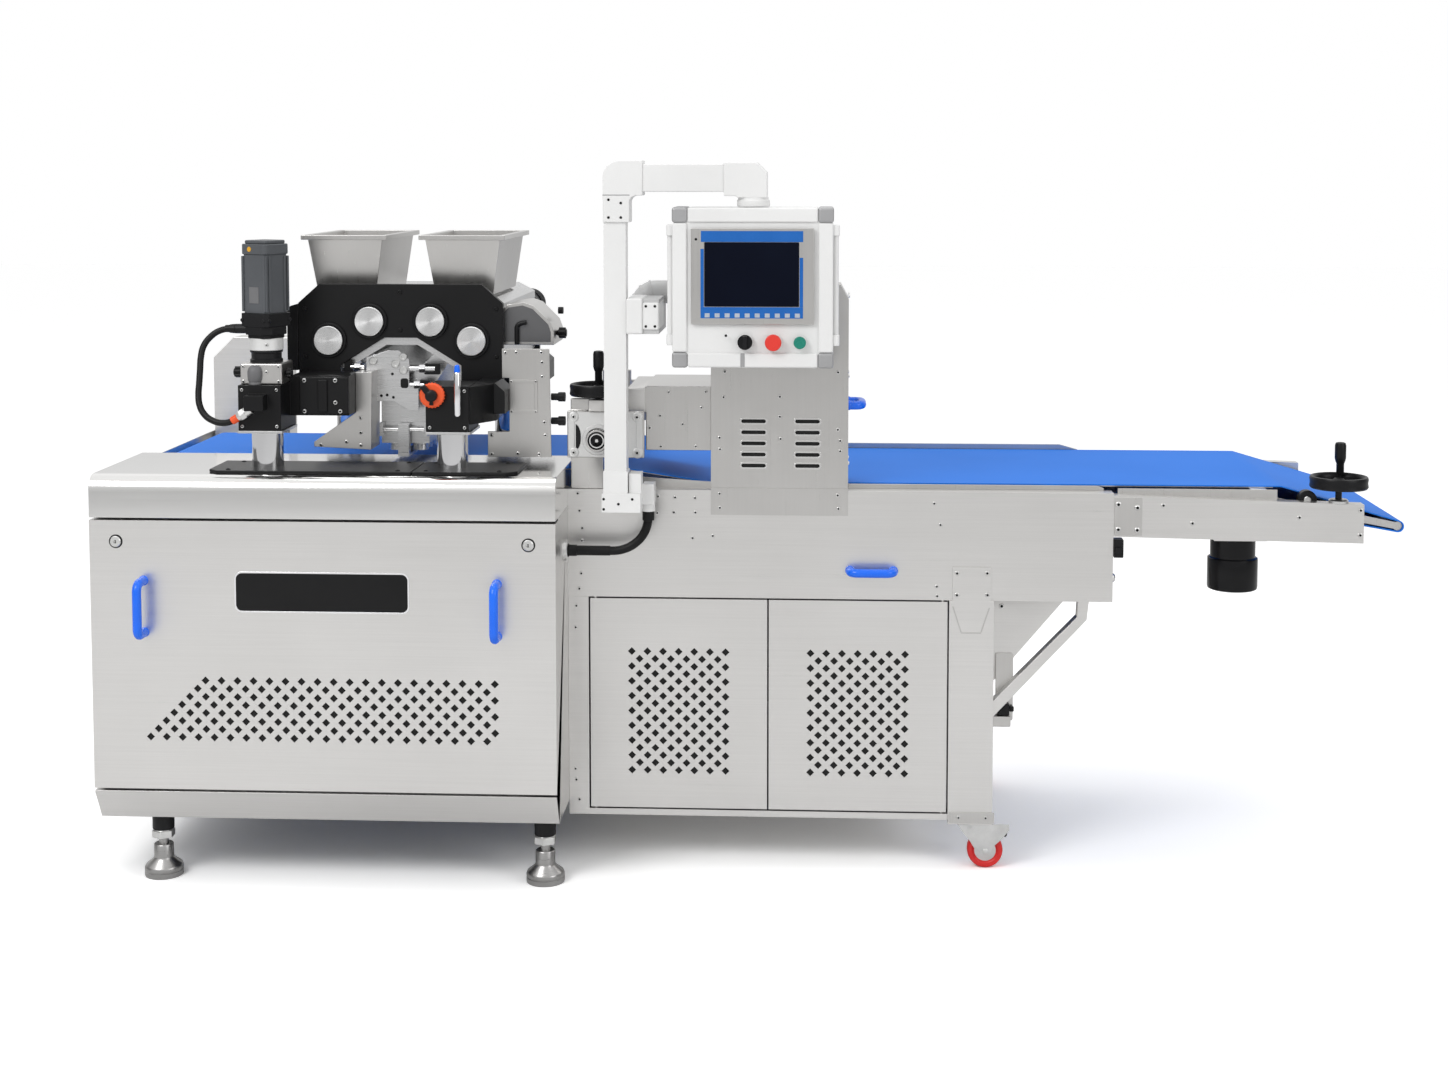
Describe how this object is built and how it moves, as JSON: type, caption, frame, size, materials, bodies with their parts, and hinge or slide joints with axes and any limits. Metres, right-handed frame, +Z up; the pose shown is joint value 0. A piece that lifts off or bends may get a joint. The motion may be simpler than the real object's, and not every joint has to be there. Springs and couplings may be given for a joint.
{
  "type": "cookie depositor",
  "caption": "Bakery cookie depositor: lifting head with hoppers and feed rollers over a blue belt, press roller, tower, swing-arm panel, doors, feet and casters.",
  "frame": {"origin": "on the floor under the middle of the machine's outline", "axes": "+X along the belt to the discharge nose, +Y from the operator's side to the back, +Z up"},
  "size_m": [3.24, 1.13, 1.788],
  "materials": {
    "steel": "brushed sheet",
    "frame_paint": "grey primer",
    "bright": "polished",
    "black_anodised": "black anodised",
    "alu": "machined",
    "white_paint": "satin powder coat",
    "belt_blue": "smooth food belt",
    "handle_blue": "moulded",
    "black_plastic": "moulded",
    "grey_plastic": "moulded",
    "cord_black": "smooth jacket",
    "screen": "film overlay",
    "orange": "moulded",
    "red": "moulded",
    "green": "moulded",
    "tyre_red": "moulded tread",
    "motor_black": "painted casting"
  },
  "bodies": {
    "frame": {"base_frame": "frame_paint", "base_panels": "steel", "base_top_cover": "steel", "levelling_feet": "bright", "guide_posts": "bright", "rear_drive_box": "steel", "conveyor_frame": "steel", "slider_bed": "steel", "belt": "belt_blue", "cabinet_frame": "steel", "electrical_tray": "frame_paint", "right_legs": "steel", "tower_housing": "steel", "fixed_handles": "handle_blue", "press_station": "white_paint", "panel_post": "white_paint", "stay_pipe": "white_paint", "hose": "cord_black", "nose_beams": "steel", "nose_motor": "motor_black"},
    "belt_drive_roller": {"drive_roller": "steel"},
    "front_panel": {"base_front_panel": "steel", "front_panel_handles": "handle_blue"},
    "left_lock": {"left_panel_lock": "bright"},
    "right_lock": {"right_panel_lock": "bright"},
    "head": {"lift_housings": "black_anodised", "servo_motor": "motor_black", "bevel_gearbox": "alu", "motor_cable": "cord_black", "front_side_plate": "black_anodised", "rear_side_plate": "black_anodised", "hoppers": "steel", "roller_housing": "alu", "nozzle_die": "alu", "mechanism_plates": "steel", "feed_motor": "motor_black"},
    "roller_1": {"feed_roller_1": "alu"},
    "roller_2": {"feed_roller_2": "alu"},
    "roller_3": {"feed_roller_3": "alu"},
    "roller_4": {"feed_roller_4": "alu"},
    "knob": {"setting_knob": "orange"},
    "wire_cut": {"wire_cut_frame": "bright"},
    "door_left": {"left_door": "steel"},
    "door_right": {"right_door": "steel"},
    "nose": {"nose_frame": "steel", "belt_nose": "belt_blue"},
    "nose_wheel": {"nose_handwheel": "black_plastic"},
    "press_wheel": {"press_handwheel": "black_plastic"},
    "carriage": {"press_carriage": "motor_black"},
    "press": {"press_roller": "steel"},
    "arm": {"panel_arm": "white_paint"},
    "panel": {"panel_enclosure": "white_paint", "panel_screen": "screen"},
    "selector": {"selector_knob": "black_plastic"},
    "stop": {"stop_button": "red"},
    "start": {"start_button": "green"},
    "fork_front": {"caster_fork_front": "bright"},
    "fork_rear": {"caster_fork_rear": "bright"},
    "wheel_front": {"caster_wheel_front": "tyre_red"},
    "wheel_rear": {"caster_wheel_rear": "tyre_red"}
  },
  "joints": [
    {"name": "belt_drive_spin", "type": "hinge", "parent": "frame", "child": "belt_drive_roller", "pos_m": [-1.555, 0.08, 0.959], "axis": [0, 1, 0], "continuous": true},
    {"name": "front_panel_lift_off", "type": "slide", "parent": "frame", "child": "front_panel", "axis": [0, -1, 0], "range_m": [0, 0.2]},
    {"name": "left_lock_turn", "type": "hinge", "parent": "front_panel", "child": "left_lock", "pos_m": [-1.554, -0.52, 0.86], "axis": [0, 1, 0], "range_deg": [0, 90]},
    {"name": "right_lock_turn", "type": "hinge", "parent": "front_panel", "child": "right_lock", "pos_m": [-0.541, -0.52, 0.86], "axis": [0, 1, 0], "range_deg": [0, 90]},
    {"name": "head_lift", "type": "slide", "parent": "frame", "child": "head", "axis": [0, 0, 1], "range_m": [0, 0.05]},
    {"name": "feed_roller_1_spin", "type": "hinge", "parent": "head", "child": "roller_1", "pos_m": [-1.088, 0.08, 1.331], "axis": [0, 1, 0], "continuous": true},
    {"name": "feed_roller_2_spin", "type": "hinge", "parent": "head", "child": "roller_2", "pos_m": [-0.983, 0.08, 1.38], "axis": [0, 1, 0], "continuous": true},
    {"name": "feed_roller_3_spin", "type": "hinge", "parent": "head", "child": "roller_3", "pos_m": [-0.827, 0.08, 1.38], "axis": [0, 1, 0], "continuous": true},
    {"name": "feed_roller_4_spin", "type": "hinge", "parent": "head", "child": "roller_4", "pos_m": [-0.722, 0.08, 1.331], "axis": [0, 1, 0], "continuous": true},
    {"name": "setting_knob_turn", "type": "hinge", "parent": "head", "child": "knob", "pos_m": [-0.783, -0.455, 1.216], "axis": [0, -1, 0], "range_deg": [-135, 135]},
    {"name": "wire_cut_stroke", "type": "slide", "parent": "head", "child": "wire_cut", "axis": [1, 0, 0], "range_m": [-0.02, 0.02]},
    {"name": "left_door_swing", "type": "hinge", "parent": "frame", "child": "door_left", "pos_m": [-0.407, -0.28, 0.414], "axis": [0, 0, -1], "range_deg": [0, 95]},
    {"name": "right_door_swing", "type": "hinge", "parent": "frame", "child": "door_right", "pos_m": [0.469, -0.28, 0.414], "axis": [0, 0, 1], "range_deg": [0, 95]},
    {"name": "nose_wheel_turn", "type": "hinge", "parent": "frame", "child": "nose_wheel", "pos_m": [1.446, -0.272, 0.993], "axis": [0, 0, 1], "range_deg": [0, 720]},
    {"name": "nose_tilt", "type": "hinge", "parent": "frame", "child": "nose", "pos_m": [1.315, 0.08, 0.93], "axis": [0, -1, 0], "range_deg": [0, 3]},
    {"name": "press_wheel_turn", "type": "hinge", "parent": "frame", "child": "press_wheel", "pos_m": [-0.397, -0.29, 1.215], "axis": [0, 0, 1], "range_deg": [0, 720]},
    {"name": "press_height", "type": "slide", "parent": "frame", "child": "carriage", "axis": [0, 0, 1], "range_m": [0, 0.02]},
    {"name": "press_roller_spin", "type": "hinge", "parent": "carriage", "child": "press", "pos_m": [-0.397, 0.08, 1.088], "axis": [0, 1, 0], "continuous": true},
    {"name": "panel_arm_swing", "type": "hinge", "parent": "frame", "child": "arm", "pos_m": [-0.338, -0.41, 1.637], "axis": [0, 0, -1], "range_deg": [0, 90]},
    {"name": "panel_swivel", "type": "hinge", "parent": "arm", "child": "panel", "pos_m": [-0.002, -0.41, 1.675], "axis": [0, 0, 1], "range_deg": [-15, 15]},
    {"name": "selector_turn", "type": "hinge", "parent": "panel", "child": "selector", "pos_m": [-0.02, -0.469, 1.35], "axis": [0, -1, 0], "range_deg": [-45, 45]},
    {"name": "stop_button_press", "type": "slide", "parent": "panel", "child": "stop", "axis": [0, 1, 0], "range_m": [0, 0.005], "stiffness_N_per_m": 400},
    {"name": "start_button_press", "type": "slide", "parent": "panel", "child": "start", "axis": [0, 1, 0], "range_m": [0, 0.005], "stiffness_N_per_m": 400},
    {"name": "caster_swivel_front", "type": "hinge", "parent": "frame", "child": "fork_front", "pos_m": [0.541, -0.265, 0.116], "axis": [0, 0, 1], "continuous": true},
    {"name": "caster_spin_front", "type": "hinge", "parent": "fork_front", "child": "wheel_front", "pos_m": [0.581, -0.265, 0.045], "axis": [0, 1, 0], "continuous": true},
    {"name": "caster_swivel_rear", "type": "hinge", "parent": "frame", "child": "fork_rear", "pos_m": [0.541, 0.425, 0.116], "axis": [0, 0, 1], "continuous": true},
    {"name": "caster_spin_rear", "type": "hinge", "parent": "fork_rear", "child": "wheel_rear", "pos_m": [0.581, 0.425, 0.045], "axis": [0, 1, 0], "continuous": true}
  ],
  "couplings": [
    {"joint": "feed_roller_2_spin", "follows": "feed_roller_1_spin", "ratio": -1},
    {"joint": "feed_roller_3_spin", "follows": "feed_roller_1_spin", "ratio": 1},
    {"joint": "feed_roller_4_spin", "follows": "feed_roller_1_spin", "ratio": -1},
    {"joint": "nose_wheel_turn", "follows": "nose_tilt", "ratio": 239.9},
    {"joint": "press_wheel_turn", "follows": "press_height", "rad_per_m": 628.3}
  ]
}
